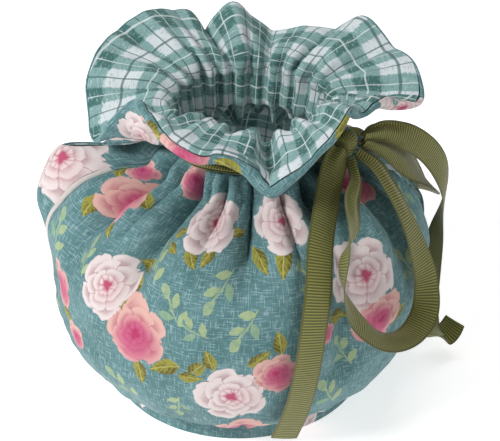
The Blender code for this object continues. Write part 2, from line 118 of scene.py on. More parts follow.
RUFFLE_EDGE = (
    # x, y, z, rise of the cloth above the casing before it turns out
    (0.084, 0.0000, 0.143, 0.01), (0.062, -0.011, 0.146, 0.012), (0.051, -0.02, 0.146, 0.016),
    (0.047, -0.032, 0.154, 0.018), (0.042, -0.044, 0.151, 0.018), (0.0315, -0.053, 0.143, 0.015),
    (0.0235, -0.058, 0.1345, 0.011), (0.0145, -0.0595, 0.129, 0.009), (0.0055, -0.0575, 0.1335, 0.011),
    (-0.001, -0.0555, 0.1395, 0.013), (-0.008, -0.0555, 0.1435, 0.015), (-0.018, -0.056, 0.144, 0.017),
    (-0.029, -0.05, 0.147, 0.017), (-0.038, -0.038, 0.153, 0.017), (-0.046, -0.024, 0.156, 0.016),
    (-0.055, -0.019, 0.145, 0.016), (-0.064, -0.013, 0.131, 0.012), (-0.067, 0.0000, 0.137, 0.014),
    (-0.069, 0.011, 0.146, 0.012), (-0.066, 0.023, 0.154, 0.01), (-0.06, 0.035, 0.159, 0.01),
    (-0.052, 0.045, 0.162, 0.01), (-0.037, 0.056, 0.1635, 0.01), (-0.024, 0.06, 0.161, 0.01),
    (-0.017, 0.0565, 0.153, 0.01), (-0.01, 0.059, 0.159, 0.01), (-0.003, 0.061, 0.164, 0.01),
    (0.007, 0.061, 0.157, 0.01), (0.017, 0.059, 0.152, 0.01), (0.031, 0.058, 0.153, 0.01),
    (0.047, 0.054, 0.155, 0.01), (0.058, 0.05, 0.162, 0.008), (0.073, 0.03, 0.156, 0.008),
    (0.08, 0.016, 0.155, 0.008),
)
SPOUT_STATION = 17
PANEL_WAYS = (
    0.0, 0.05, 0.14, 0.25, 0.37, 0.49, 0.6, 0.7, 0.79, 0.87, 0.94, 1.0,
    1.3, 1.65, 2.0, 2.18, 2.38, 2.6, 2.8, 3.0,
)
FRONT_TURNS = tuple(np.linspace(0.0, SPOUT_SEAM - 4.5, 40)) + (SPOUT_SEAM - 2.0, SPOUT_SEAM)
BACK_TURNS = (SPOUT_SEAM, SPOUT_SEAM + 3.5) + tuple(np.linspace(SPOUT_SEAM + 7.0, 360.0, 46))
# Handle slit: lower and upper share of the way up, half width, reach in degrees.
HANDLE_OPENING = (0.2, 0.93, 0.008, 26.0)
# Spout hole: its first and last column and row of the back panel's grid.
SPOUT_HOLE = ((2, 7), (7, 10))
PRINT_RADIUS = 0.0885
CLOTH_HEIGHTS = (0.0, 0.162, 0.178, 0.226)
ROW_CUTS = (4, 7, 9, 11, 11, 11, 11, 11, 11, 11, 11, 5, 5, 5, 9, 9, 9, 9, 9)


def wrapped(degrees):
    return (degrees + 180.0) % 360.0 - 180.0


def eased(share):
    share = np.clip(share, 0.0, 1.0)
    return share * share * (3.0 - 2.0 * share)


def through(knots, values, at):
    """A smooth curve through values at the knots, read at each place in at."""
    knots, values = np.asarray(knots, float), np.asarray(values, float)
    slopes = np.gradient(values, knots, axis=0)
    i = np.clip(np.searchsorted(knots, at, side="right") - 1, 0, len(knots) - 2)
    span = knots[i + 1] - knots[i]
    t = ((at - knots[i]) / span)[..., None]
    span = span[..., None]
    start = (2 * t**3 - 3 * t**2 + 1) * values[i] + (t**3 - 2 * t**2 + t) * span * slopes[i]
    return start + (3 * t**2 - 2 * t**3) * values[i + 1] + (t**3 - t**2) * span * slopes[i + 1]


def shares_along(points):
    along = np.concatenate([[0.0], np.cumsum(np.linalg.norm(np.diff(points, axis=0), axis=1))])
    return along / along[-1]


def round_the_ruffle(turn):
    """The ruffle's edge point and its rise at each turn."""
    edge = np.array([row[:3] for row in RUFFLE_EDGE])
    ring = np.vstack([edge, edge[:1]])
    front = 180.0 * shares_along(ring[: SPOUT_STATION + 1])
    back = 180.0 + 180.0 * shares_along(ring[SPOUT_STATION:])
    knots, values = np.concatenate([front, back[1:-1]]), np.array(RUFFLE_EDGE)
    knots = np.concatenate([knots[-2:] - 360.0, knots, knots[:2] + 360.0])
    values = np.concatenate([values[-2:], values, values[:2]])
    found = through(knots, values, np.mod(turn, 360.0))
    return found[..., :3], found[..., 3]


def neck_gathers(turn):
    """How far the gathers draw the cloth in round the neck."""
    inward = np.full_like(turn, -0.0008)
    for at, width, depth, foot, neck_depth in GATHERS:
        inward = inward + 1.3 * neck_depth * np.exp(-((wrapped(turn - at) / 3.9) ** 2))
    return inward


def rumple(turn, up, size, seed):
    """A smooth uneven field of waves from about -1 to 1 over the cloth, finer for a smaller size."""
    chance = np.random.default_rng(seed)
    round_way, total = np.radians(turn) * PRINT_RADIUS, 0.0
    for _ in range(14):
        angle = chance.uniform(0.0, math.pi)
        wave = size * chance.uniform(0.7, 1.8)
        phase = chance.uniform(0.0, 2 * math.pi)
        along = round_way * math.cos(angle) + up * math.sin(angle)
        total = total + np.sin(along * 2 * math.pi / wave + phase)
    return total / 5.0


def body_point(turn, share):
    """The cloth's middle surface between hem and neck."""
    plain = through(shares_along(np.array(BODY_PROFILE)), BODY_PROFILE, share)
    spout = through(shares_along(np.array(SPOUT_PROFILE)), SPOUT_PROFILE, share)
    over_spout = np.exp(-((wrapped(turn - 180.0) / SPOUT_SPREAD) ** 2))[..., None]
    radius, height = np.moveaxis(plain + (spout - plain) * over_spout, -1, 0)
    trough = np.zeros_like(radius)
    for at, width, depth, foot, neck_depth in GATHERS:
        fade = eased((share - foot) / 0.22) * (1.0 - eased((share - 0.9) / 0.1))
        lean = 3.0 * math.sin(at * 1.7) * (1.0 - share)
        trough += depth * np.exp(-(np.abs(wrapped(turn - at - lean) / (0.82 * width)) ** 1.35)) * fade
    for at, width, depth, end in HEM_PUCKERS:
        fade = np.clip(1.0 - height / end, 0.0, 1.0) * eased((height - 0.003) / 0.008)
        trough += depth * np.exp(-((wrapped(turn - at) / width) ** 2)) * fade
    radius = radius - FOLD_DEPTH * trough - neck_gathers(turn) * eased((share - 0.8) / 0.2)
    height = height - 0.75 * FOLD_DEPTH * trough * eased((share - 0.5) / 0.4)
    drawn_in = np.clip(neck_gathers(turn) / 0.003, 0.0, 1.0)
    puff = NECK_PUFF * np.exp(-(((share - 0.945) / 0.035) ** 2)) * (1.1 - drawn_in)
    radius, height = radius + 0.6 * puff, height + puff
    centre_x = NECK_SHIFT * eased((share - 0.25) / 0.75)
    angle = np.radians(-turn)
    return np.stack([centre_x + radius * np.cos(angle), radius * np.sin(angle), height], axis=-1)


def neck_point(turn, radius, height):
    angle = np.radians(-turn)
    radius = radius - neck_gathers(turn)
    return np.stack([NECK_SHIFT + radius * np.cos(angle), radius * np.sin(angle), height], axis=-1)


def cloth_point(turn, way):
    """The middle of the two layers of cloth at each turn and way."""
    low = body_point(turn, np.clip(way, 0.0, 1.0))
    waist_radius, waist_height = BODY_PROFILE[-1]
    share = np.clip(way - 1.0, 0.0, 1.0)
    radius = waist_radius + (CASING_TOP_RADIUS - waist_radius) * eased(share)
    middle = neck_point(turn, radius, waist_height + (CASING_TOP_HEIGHT - waist_height) * share)
    foot = neck_point(turn, CASING_TOP_RADIUS, CASING_TOP_HEIGHT + 0.0 * turn)
    edge, rise = round_the_ruffle(turn)
    at, width, reach, drop = SPOUT_FOLD
    near = np.exp(-((wrapped(turn - at) / width) ** 2))
    angle = np.radians(-turn)
    lean = np.stack([near * reach * np.cos(angle), near * reach * np.sin(angle), rise - drop * near], axis=-1)
    top = foot + lean
    share = np.clip(way - 2.0, 0.0, 1.0)[..., None]
    high = (1 - share) ** 2 * foot + 2 * share * (1 - share) * top + share**2 * edge
    way = way[..., None]
    return np.where(way < 1.0, low, np.where(way < 2.0, middle, high))


def seam_shift(turn, way, turns):
    """How far the cloth draws back from its panel's two edges, for the seams and the handle opening."""
    foot, top, half_width, spread = HANDLE_OPENING
    opened = half_width * np.sin(math.pi * np.clip((way - foot) / (top - foot), 0.0, 1.0)) ** 0.8
    shift = np.zeros_like(turn)
    for seam, side in ((turns[0], 1.0), (turns[-1], -1.0)):
        away = np.abs(turn - seam)
        shift += side * 0.0001 * (away < 1e-3)
        if seam != SPOUT_SEAM:
            shift += side * opened * np.clip(1.0 - away / spread, 0.0, 1.0) ** 1.5
    return shift


def rounded_hole(column, row):
    """Moves the grid's corners near the spout hole, so that the block of squares it takes out turns oval."""
    middles = [sum(ends) / 2 for ends in SPOUT_HOLE]
    halves = [(ends[1] - ends[0]) / 2 for ends in SPOUT_HOLE]
    u, v = (column - middles[0]) / halves[0], (row - middles[1]) / halves[1]
    near_u, near_v = np.clip(u, -1.0, 1.0), np.clip(v, -1.0, 1.0)
    away = np.maximum((np.abs(u) - 1.0) * halves[0], (np.abs(v) - 1.0) * halves[1])
    fade = np.clip(1.0 - away / 2.0, 0.0, 1.0)
    column = column + fade * halves[0] * near_u * (np.sqrt(1.0 - near_v**2 / 2) - 1.0)
    row = row + fade * halves[1] * near_v * (np.sqrt(1.0 - near_u**2 / 2) - 1.0)
    return column, row


def panel_grid(turns, cuts, holed):
    """The grid of a panel: its column and row numbers, turns, ways, middle surface and outward directions."""
    column = np.linspace(0.0, len(turns) - 1.0, (len(turns) - 1) * cuts + 1)
    row = np.concatenate([np.arange(cut) / cut + i for i, cut in enumerate(ROW_CUTS)])
    last = len(ROW_CUTS) - 1.0
    row = np.concatenate([row, last + 1.0 - np.array((0.07, 0.035, 0.01, 0.0))])
    column, row = np.meshgrid(column, row)
    bent_column, bent_row = rounded_hole(column, row) if holed else (column, row)
    turn = np.interp(bent_column, np.arange(len(turns)), turns)
    way = np.interp(bent_row, np.arange(len(PANEL_WAYS)), PANEL_WAYS)
    up = np.interp(way, (0, 1, 2, 3), CLOTH_HEIGHTS)

    roll = np.interp(turn, *np.array(EDGE_ROLL).T)
    reached = way - roll / 0.045 * eased((way - 2.2) / 0.8)
    tangent = cloth_point(turn + 0.5, reached) - cloth_point(turn - 0.5, reached)
    tangent /= np.linalg.norm(tangent, axis=-1, keepdims=True)
    middle = cloth_point(turn, reached) + tangent * seam_shift(turn, way, turns)[..., None]
    across = cloth_point(turn + 0.4, reached) - cloth_point(turn - 0.4, reached)
    above, below = np.clip(reached + WAY_STEP, 0, 3), np.clip(reached - WAY_STEP, 0, 3)
    upward = cloth_point(turn, above) - cloth_point(turn, below)
    normal = np.cross(upward, across)
    normal /= np.linalg.norm(normal, axis=-1, keepdims=True)
    loose = eased(way / 0.15) * (1.0 - 0.5 * eased((way - 2.9) / 0.1))
    lift = (0.00075 * rumple(turn, up, 0.028, 3) + 0.00025 * rumple(turn, up, 0.01, 8)) * loose
    share = np.clip(way - 2.0, 0.0, 1.0)
    lift = lift - 4.0 * share * (1.0 - share) * (1.0 - 0.5 * share) * neck_gathers(turn)
    for at, width, depth, start in RUFFLE_CREASES:
        fade = eased((share - start) / 0.35) * (1.0 - 0.55 * eased((share - 0.6) / 0.4))
        lift = lift + depth * np.exp(-(np.abs(wrapped(turn - at) / width) ** 1.6)) * fade
    middle = middle + normal * lift[..., None]
    along_row = np.gradient(middle, axis=1)
    along_column = np.gradient(middle, axis=0)
    normal = np.cross(along_column, along_row)
    normal /= np.linalg.norm(normal, axis=-1, keepdims=True)
    return column, row, turn, way, up, middle, normal


def with_rolled_edge(grid):
    """The grid with rows added that carry the printed cloth over the ruffle's edge in a soft roll."""
    column, row, turn, way, up, middle, normal = grid
    radius = np.interp(turn[-1], *np.array(EDGE_ROLL).T)[:, None]
    outer, out = normal[-1], middle[-1] - middle[-4]
    out = out - outer * (out * outer).sum(axis=1, keepdims=True)
    out /= np.linalg.norm(out, axis=1, keepdims=True)
    added = [[part] for part in grid]
    for step in range(1, ROLL_STEPS + 1):
        angle = ROLL_REACH * step / ROLL_STEPS
        facing = outer * math.cos(angle) + out * math.sin(angle)
        place = middle[-1] - outer * radius + facing * radius
        higher = up[-1] + radius[:, 0] * angle
        made = (column[-1], row[-1] + step, turn[-1], way[-1] + 0.01 * step, higher, place, facing)
        for rows, part in zip(added, made):
            rows.append(part[None])
    return tuple(np.concatenate(rows) for rows in added)


def closed_sheet(name, sides, kept, flat, sharp):
    """A closed sheet between two grids of points, with each corner's place on the flat cloth."""
    rows, columns = sides[0].shape[:2]
    count = rows * columns
    index = np.arange(count).reshape(rows, columns)
    a, b, c, d = index[:-1, :-1][kept], index[:-1, 1:][kept], index[1:, 1:][kept], index[1:, :-1][kept]
    edges = np.concatenate([np.stack(pair, axis=1) for pair in ((a, b), (b, c), (c, d), (d, a))])
    key = np.sort(edges, axis=1)
    _, first, uses = np.unique(key[:, 0] * count + key[:, 1], return_index=True, return_counts=True)
    rim = edges[first[uses == 1]]
    walls = np.stack([rim[:, 1], rim[:, 0], rim[:, 0] + count, rim[:, 1] + count], axis=1)
    faces = np.concatenate([np.stack([d, c, b, a], axis=1) + count, np.stack([a, b, c, d], axis=1), walls])
    points = np.concatenate([side.reshape(-1, 3) for side in sides]) + HEM_MIDDLE
    used = np.unique(faces)
    fresh = np.full(2 * count, -1)
    fresh[used] = np.arange(len(used))
    mesh = bpy.data.meshes.new(name)
    mesh.from_pydata(points[used].tolist(), [], fresh[faces].tolist())
    mesh.update()
    corners = np.concatenate([flat, flat])[faces]
    mesh.uv_layers.new(name="cloth").data.foreach_set("uv", corners.astype(np.float32).reshape(-1))
    mesh.shade_smooth()
    mesh.set_sharp_from_angle(angle=math.radians(sharp))
    return mesh, corners


def slab_mesh(name, grid, inner, outer, holed):
    """A panel's closed cloth between two offsets from its grid's middle surface."""
    column, row, turn, way, up, middle, normal = grid
    sides = [middle + normal * inner[..., None], middle + normal * outer[..., None]]
    for side in sides:
        side[0, :, 2] = HEM_LIFT
    kept = np.ones((turn.shape[0] - 1, turn.shape[1] - 1), bool)
    if holed:
        (left, right), (bottom, top) = SPOUT_HOLE
        mid_column = (column[:-1, :-1] + column[1:, 1:]) / 2
        mid_row = (row[:-1, :-1] + row[1:, 1:]) / 2
        kept = ~((mid_column > left) & (mid_column < right) & (mid_row > bottom) & (mid_row < top))
    flat = np.stack([np.radians(turn) * PRINT_RADIUS, up], axis=-1).reshape(-1, 2)
    return closed_sheet(name, sides, kept, flat, 70.0)


def dressed(mesh, material, node):
    """Puts a finished mesh into the scene in place of its solid."""
    piece = bpy.data.objects.new(mesh.name, mesh)
    bpy.context.scene.collection.objects.link(piece)
    mesh.materials.append(material)
    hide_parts(node)
    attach(piece, "root")
    return piece


LEAF_SCALE = 0.74
BLOOMS = {
    "outer_front": (
        # turn, height up the cloth, radius, angle, tone: 0 white, 1 rose
        (153, 0.127, 0.016, 20, 1), (131.5, 0.154, 0.011, 70, 1),
        (107, 0.135, 0.018, 10, 0), (76, 0.137, 0.0185, 150, 0),
        (135.8, 0.0925, 0.016, 35, 0), (121.5, 0.079, 0.017, 80, 1),
        (92, 0.054, 0.018, 5, 0), (80, 0.0665, 0.0115, 40, 1),
        (88, 0.021, 0.017, 100, 1), (50, 0.101, 0.0195, 60, 0),
        (45.5, 0.078, 0.015, 130, 1), (157.5, 0.0745, 0.012, 0, 1),
        (65.5, 0.081, 0.006, 25, 1), (148, 0.056, 0.008, 60, 1),
        (114, 0.229, 0.015, 15, 1), (133, 0.218, 0.012, 15, 1),
        (150, 0.212, 0.015, 55, 0), (60, 0.208, 0.014, 75, 1),
        (10, 0.228, 0.0165, 15, 0), (28, 0.21, 0.01, 15, 1), (162, 0.142, 0.008, 15, 1),
        (20, 0.05, 0.017, 15, 0), (12, 0.064, 0.013, 70, 1), (140, 0.015, 0.015, 25, 0),
        (30, 0.14, 0.015, 25, 1), (61, 0.011, 0.015, 25, 0),
    ),
    "outer_back": (
        (176, 0.116, 0.02, 15, 0), (186, 0.096, 0.014, 80, 1),
        (206, 0.135, 0.018, 30, 0), (176, 0.042, 0.016, 45, 0),
        (197, 0.034, 0.014, 20, 1), (214, 0.08, 0.018, 65, 0),
        (226, 0.093, 0.015, 10, 1), (233, 0.033, 0.017, 35, 0),
        (245, 0.136, 0.018, 85, 0), (254, 0.07, 0.016, 15, 1),
        (268, 0.048, 0.018, 50, 0), (279, 0.115, 0.018, 5, 0),
        (290, 0.128, 0.014, 75, 1), (297, 0.03, 0.015, 25, 1),
        (306, 0.076, 0.0185, 40, 0), (318, 0.135, 0.017, 60, 0),
        (328, 0.048, 0.017, 10, 1), (341, 0.09, 0.0185, 30, 0),
        (351, 0.131, 0.015, 70, 1), (190, 0.21, 0.015, 20, 1),
        (216, 0.206, 0.016, 50, 0), (252, 0.211, 0.015, 10, 1),
        (287, 0.207, 0.017, 30, 0), (322, 0.211, 0.016, 60, 0),
        (333, 0.203, 0.011, 60, 1), (351, 0.205, 0.016, 80, 1),
    ),
}
LEAVES = {
    "outer_front": (
        # turn, height up the cloth, half length, angle of its tip, kind: 1 broad leaf, 2 sprig
        (118.6, 0.127, 0.0075, 160, 1), (118.4, 0.119, 0.007, 200, 1),
        (109.6, 0.1175, 0.0085, 235, 1), (104, 0.119, 0.008, 300, 1),
        (96.5, 0.131, 0.007, 350, 1), (85.5, 0.118, 0.01, 240, 1),
        (78, 0.1175, 0.011, 280, 1), (127.5, 0.104, 0.008, 20, 1),
        (127.5, 0.0955, 0.0085, 340, 1), (128.8, 0.087, 0.007, 320, 1),
        (119.4, 0.06, 0.0095, 260, 1), (111.5, 0.0665, 0.0105, 340, 1),
        (101.8, 0.07, 0.009, 130, 1), (98.6, 0.0745, 0.008, 70, 1),
        (103.8, 0.064, 0.008, 180, 1), (79.5, 0.083, 0.0085, 80, 1),
        (85, 0.076, 0.0085, 140, 1), (38, 0.073, 0.01, 330, 1),
        (59.5, 0.085, 0.009, 200, 1), (147, 0.115, 0.009, 230, 1),
        (165, 0.133, 0.0085, 190, 1), (159.5, 0.114, 0.008, 260, 1),
        (144.5, 0.134, 0.009, 40, 1), (152, 0.064, 0.008, 200, 1),
        (98, 0.229, 0.012, 20, 1), (127, 0.229, 0.011, 160, 1),
        (48, 0.2285, 0.012, 20, 1), (140, 0.21, 0.008, 200, 1),
        (72, 0.204, 0.009, 150, 1), (34, 0.21, 0.009, 150, 1),
        (148, 0.0975, 0.011, 70, 2), (122, 0.11, 0.013, 60, 2),
        (97.5, 0.106, 0.013, 300, 2), (111, 0.095, 0.013, 55, 2),
        (104.5, 0.088, 0.011, 20, 2), (127, 0.045, 0.013, 40, 2),
        (108, 0.042, 0.012, 280, 2), (89, 0.09, 0.013, 300, 2),
        (62, 0.045, 0.014, 60, 2), (57, 0.065, 0.012, 60, 2), (70, 0.108, 0.013, 50, 2),
        (163, 0.095, 0.012, 80, 2), (164, 0.042, 0.013, 60, 2),
        (28, 0.09, 0.014, 60, 2), (12, 0.115, 0.013, 300, 2), (33, 0.03, 0.013, 120, 2),
        (82, 0.206, 0.013, 20, 2),
    ),
    "outer_back": (
        (184, 0.108, 0.009, 300, 1), (195, 0.092, 0.009, 10, 1),
        (196, 0.136, 0.009, 190, 1), (217, 0.131, 0.009, 350, 1),
        (186, 0.046, 0.009, 20, 1), (205, 0.038, 0.009, 20, 1),
        (203, 0.082, 0.009, 170, 1), (219, 0.096, 0.008, 100, 1),
        (244, 0.037, 0.009, 10, 1), (234, 0.14, 0.009, 170, 1),
        (256, 0.133, 0.009, 350, 1), (263, 0.069, 0.009, 0, 1),
        (260, 0.056, 0.008, 190, 1), (279, 0.052, 0.009, 20, 1),
        (270, 0.108, 0.009, 200, 1), (290, 0.108, 0.009, 330, 1),
        (295, 0.079, 0.009, 170, 1), (317, 0.073, 0.009, 340, 1),
        (318, 0.052, 0.009, 160, 1), (330, 0.133, 0.009, 340, 1),
        (331, 0.092, 0.009, 170, 1), (345, 0.076, 0.009, 290, 1),
        (203, 0.208, 0.009, 20, 1), (235, 0.208, 0.009, 170, 1),
        (270, 0.208, 0.009, 170, 1), (305, 0.208, 0.009, 170, 1),
        (190, 0.068, 0.013, 60, 2), (202, 0.108, 0.013, 300, 2),
        (215, 0.052, 0.013, 60, 2), (237, 0.068, 0.013, 300, 2),
        (241, 0.109, 0.013, 60, 2), (262, 0.093, 0.013, 60, 2),
        (252, 0.03, 0.013, 120, 2), (283, 0.082, 0.013, 60, 2),
        (285, 0.02, 0.012, 60, 2), (300, 0.103, 0.013, 40, 2),
        (313, 0.11, 0.012, 300, 2), (313, 0.025, 0.013, 60, 2),
        (343, 0.113, 0.012, 60, 2), (346, 0.03, 0.013, 100, 2),
    ),
}


def print_places(mesh, corners, layer, table, reach):
    """Gives each face the place and kind of the nearest printed shape, in that shape's own coordinates."""
    places = np.full(corners.shape, 9.0)
    kind = np.full(len(corners), -1.0)
    nearest = np.full(len(corners), reach)
    centre = corners.mean(axis=1)
    for turn, up, size, angle, sort in table:
        at = np.array((math.radians(turn) * PRINT_RADIUS, up))
        size = size * (LEAF_SCALE if (layer, sort) == ("leaf", 1.0) else 1.0)
        away = np.linalg.norm(centre - at, axis=1) / size
        mine = away < nearest
        nearest[mine] = away[mine]
        tilt = math.radians(angle)
        turned = np.array(((math.cos(tilt), -math.sin(tilt)), (math.sin(tilt), math.cos(tilt))))
        places[mine] = (corners[mine] - at) @ turned / size
        kind[mine] = sort
    coords = mesh.uv_layers.new(name=layer)
    coords.data.foreach_set("uv", places.astype(np.float32).reshape(-1))
    sorts = mesh.attributes.new(layer + "_kind", "FLOAT", "FACE")
    sorts.data.foreach_set("value", kind.astype(np.float32))


class Sum:
    """A number inside a node tree. Sums done with it add Math nodes."""

    def __init__(self, tree, socket):
        self.tree, self.socket = tree, socket

    def math(self, operation, *others):
        node = self.tree.nodes.new("ShaderNodeMath")
        node.operation = operation
        for slot, value in zip(node.inputs, (self, *others)):
            if isinstance(value, Sum):
                self.tree.links.new(value.socket, slot)
            else:
                slot.default_value = value
        return Sum(self.tree, node.outputs[0])

    def __add__(self, other):
        return self.math("ADD", other)

    def __sub__(self, other):
        return self.math("SUBTRACT", other)

    def __mul__(self, other):
        return self.math("MULTIPLY", other)

    def step(self, low, high):
        """0 below low, 1 above high and smooth between."""
        node = self.tree.nodes.new("ShaderNodeMapRange")
        node.interpolation_type = "SMOOTHSTEP"
        self.tree.links.new(self.socket, node.inputs["Value"])
        node.inputs["From Min"].default_value = low
        node.inputs["From Max"].default_value = high
        return Sum(self.tree, node.outputs["Result"])


def node_group(name, inputs, outputs):
    """A new shader node group with named sockets, and its inner input and output nodes."""
    group = bpy.data.node_groups.new(name, "ShaderNodeTree")
    for kind, label in inputs:
        group.interface.new_socket(name=label, in_out="INPUT", socket_type=kind)
    for kind, label in outputs:
        group.interface.new_socket(name=label, in_out="OUTPUT", socket_type=kind)
    return group, group.nodes.new("NodeGroupInput"), group.nodes.new("NodeGroupOutput")


def noise(tree, vector, scale, detail=2.0):
    node = tree.nodes.new("ShaderNodeTexNoise")
    node.inputs["Scale"].default_value = scale
    node.inputs["Detail"].default_value = detail
    tree.links.new(vector, node.inputs["Vector"])
    return Sum(tree, node.outputs["Fac"])


def split(tree, vector):
    node = tree.nodes.new("ShaderNodeSeparateXYZ")
    tree.links.new(vector, node.inputs[0])
    return Sum(tree, node.outputs["X"]), Sum(tree, node.outputs["Y"])


def stretched(tree, vector, scale, turn=0.0):
    """The cloth coordinates turned and stretched for a texture."""
    node = tree.nodes.new("ShaderNodeMapping")
    node.inputs["Rotation"].default_value = (0.0, 0.0, math.radians(turn))
    node.inputs["Scale"].default_value = scale
    tree.links.new(vector, node.inputs["Vector"])
    return node.outputs["Vector"]


def mixed(tree, share, first, second, blend="MIX"):
    """A colour between two, each given as a colour or a socket."""
    node = tree.nodes.new("ShaderNodeMix")
    node.data_type, node.blend_type = "RGBA", blend
    if isinstance(share, Sum):
        tree.links.new(share.socket, node.inputs["Factor"])
    else:
        node.inputs["Factor"].default_value = share
    for colour, label in ((first, "A"), (second, "B")):
        slot = next(s for s in node.inputs if s.name == label and s.type == "RGBA")
        if isinstance(colour, (tuple, list)):
            slot.default_value = (*colour, 1.0)
        else:
            tree.links.new(colour, slot)
    return next(s for s in node.outputs if s.type == "RGBA")


def paint(code):
    """A colour in the shader's linear terms from a hexadecimal one."""
    values = [int(code[i : i + 2], 16) / 255 for i in (0, 2, 4)]
    return tuple(v / 12.92 if v <= 0.04045 else ((v + 0.055) / 1.055) ** 2.4 for v in values)


PETAL_RINGS = (
    # reach, foot, half the number of petals, turn of the ring
    (0.93, 0.6, 2.5, 0.3), (0.7, 0.4, 2.5, 1.9), (0.47, 0.22, 2.0, 0.8), (0.28, 0.08, 1.5, 2.4),
)


def bloom_group():
    """Draws a many-petalled flower in its own coordinates: its mask, petal shading, edges and heart."""
    group, given, out = node_group(
        "bloom", [("NodeSocketVector", "Place")],
        [("NodeSocketFloat", name) for name in ("Mask", "Shade", "Heart", "Distance")],
    )
    place = given.outputs["Place"]
    x, y = split(group, place)
    radius = (x * x + y * y).math("SQRT")
    angle = y.math("ARCTAN2", x)
    wobble = noise(group, place, 2.3) - 0.5
    fine = noise(group, place, 7.0) - 0.5
    radius = radius + wobble * 0.22 + fine * 0.05
    shade = None
    for reach, base, petals, phase in PETAL_RINGS:
        lobes = (angle * petals + phase + wobble * 3.0).math("COSINE").math("ABSOLUTE").math("POWER", 0.45)
        edge = lobes * (0.26 * reach) + 0.76 * reach
        inside = (edge - radius).step(0.0, 0.035)
        depth = (edge - radius).step(0.0, reach - base)
        notch = lobes.step(0.55, 0.25) * 0.45
        tone = depth * 0.62 + notch
        if shade is None:
            mask, shade = inside, tone
        else:
            shade = shade * (inside * -1.0 + 1.0) + tone * inside
    streaks = noise(group, place, 14.0) - 0.5
    shade = shade + streaks * 0.25
    rays = (angle * 9.0 + wobble * 9.0).math("COSINE").step(0.55, 0.95) * radius.step(0.4, 0.14) * 0.6
    heart = (radius + fine * 0.25).step(0.19, 0.08).math("MAXIMUM", rays)
    for name, value in (("Mask", mask), ("Shade", shade), ("Heart", heart), ("Distance", radius + x * 0.35)):
        group.links.new(value.socket, out.inputs[name])
    return group


def leaf_group():
    """Draws a broad leaf and a sprig of small leaves in their own coordinates."""
    labels = ("Leaf Mask", "Leaf Tone", "Vein", "Sprig Mask", "Sprig Tone")
    group, given, out = node_group(
        "leaf", [("NodeSocketVector", "Place")], [("NodeSocketFloat", label) for label in labels]
    )
    place = given.outputs["Place"]
    x, y = split(group, place)
    wobble = noise(group, place, 1.7) - 0.5
    y = y + wobble * 0.25
    side = y.math("ABSOLUTE")
    outline = (x * x * -1.0 + 1.0).math("MAXIMUM", 0.0) * (x * -0.22 + 0.5)
    leaf = (outline - side).step(0.0, 0.05)
    side_veins = ((x - side * 1.3) * 17.0).math("SINE").step(0.78, 0.95) * 0.6
    vein = side.step(0.045, 0.015).math("MAXIMUM", side_veins)
    tone = (noise(group, place, 2.6) + y * 0.5).step(0.25, 0.75)
    sprig = (y - x * x * 0.12).math("ABSOLUTE").step(0.045, 0.02) * x.math("ABSOLUTE").step(0.75, 0.7)
    leaflets = ((-0.42, 0.26, 0.9), (-0.08, -0.27, -0.8), (0.22, 0.24, 0.7), (0.66, 0.02, 0.1))
    for at_x, at_y, turned in leaflets:
        along = (x - at_x) * math.cos(turned) + (y - at_y) * math.sin(turned)
        across = ((y - at_y) * math.cos(turned) - (x - at_x) * math.sin(turned)).math("ABSOLUTE")
        edge = (along * along * -11.0 + 1.0) * 0.17
        sprig = sprig.math("MAXIMUM", (edge - across).step(0.0, 0.03))
    sprig_tone = (noise(group, place, 4.0) + y * 0.5).step(0.3, 0.7)
    for label, value in zip(labels, (leaf, tone, vein, sprig, sprig_tone)):
        group.links.new(value.socket, out.inputs[label])
    return group


def weave_group():
    """A plain weave's fine ridges, as a height from the cloth coordinates."""
    group, given, out = node_group("weave", [("NodeSocketVector", "Cloth")], [("NodeSocketFloat", "Height")])
    u, v = split(group, given.outputs["Cloth"])
    ridges = (u * 9000.0).math("SINE") * 0.5 + (v * 9000.0).math("SINE") * 0.5
    slubs = noise(group, stretched(group, given.outputs["Cloth"], (500.0, 2500.0, 1.0)), 1.0)
    slubs = slubs + noise(group, stretched(group, given.outputs["Cloth"], (2500.0, 500.0, 1.0)), 1.0)
    group.links.new((ridges * 0.25 + slubs).socket, out.inputs["Height"])
    return group


def cloth_material(name):
    """A new fabric material with its shader and cloth coordinates in place."""
    material = bpy.data.materials.new(name)
    material.use_nodes = True
    tree = material.node_tree
    shader = tree.nodes["Principled BSDF"]
    shader.inputs["Roughness"].default_value = 0.88
    shader.inputs["Specular IOR Level"].default_value = 0.25
    shader.inputs["Sheen Weight"].default_value = 0.12
    shader.inputs["Sheen Roughness"].default_value = 0.5
    coords = tree.nodes.new("ShaderNodeUVMap")
    coords.uv_map = "cloth"
    return material, tree, shader, coords.outputs["UV"]


def placed(tree, group, **links):
    node = tree.nodes.new("ShaderNodeGroup")
    node.node_tree = group
    for label, socket in links.items():
        tree.links.new(socket, node.inputs[label])
    return node


def attribute(tree, name):
    node = tree.nodes.new("ShaderNodeAttribute")
    node.attribute_name = name
    return Sum(tree, node.outputs["Fac"])


def bump(tree, shader, height, strength, distance):
    node = tree.nodes.new("ShaderNodeBump")
    node.inputs["Strength"].default_value = strength
    node.inputs["Distance"].default_value = distance
    tree.links.new(height, node.inputs["Height"])
    tree.links.new(node.outputs["Normal"], shader.inputs["Normal"])


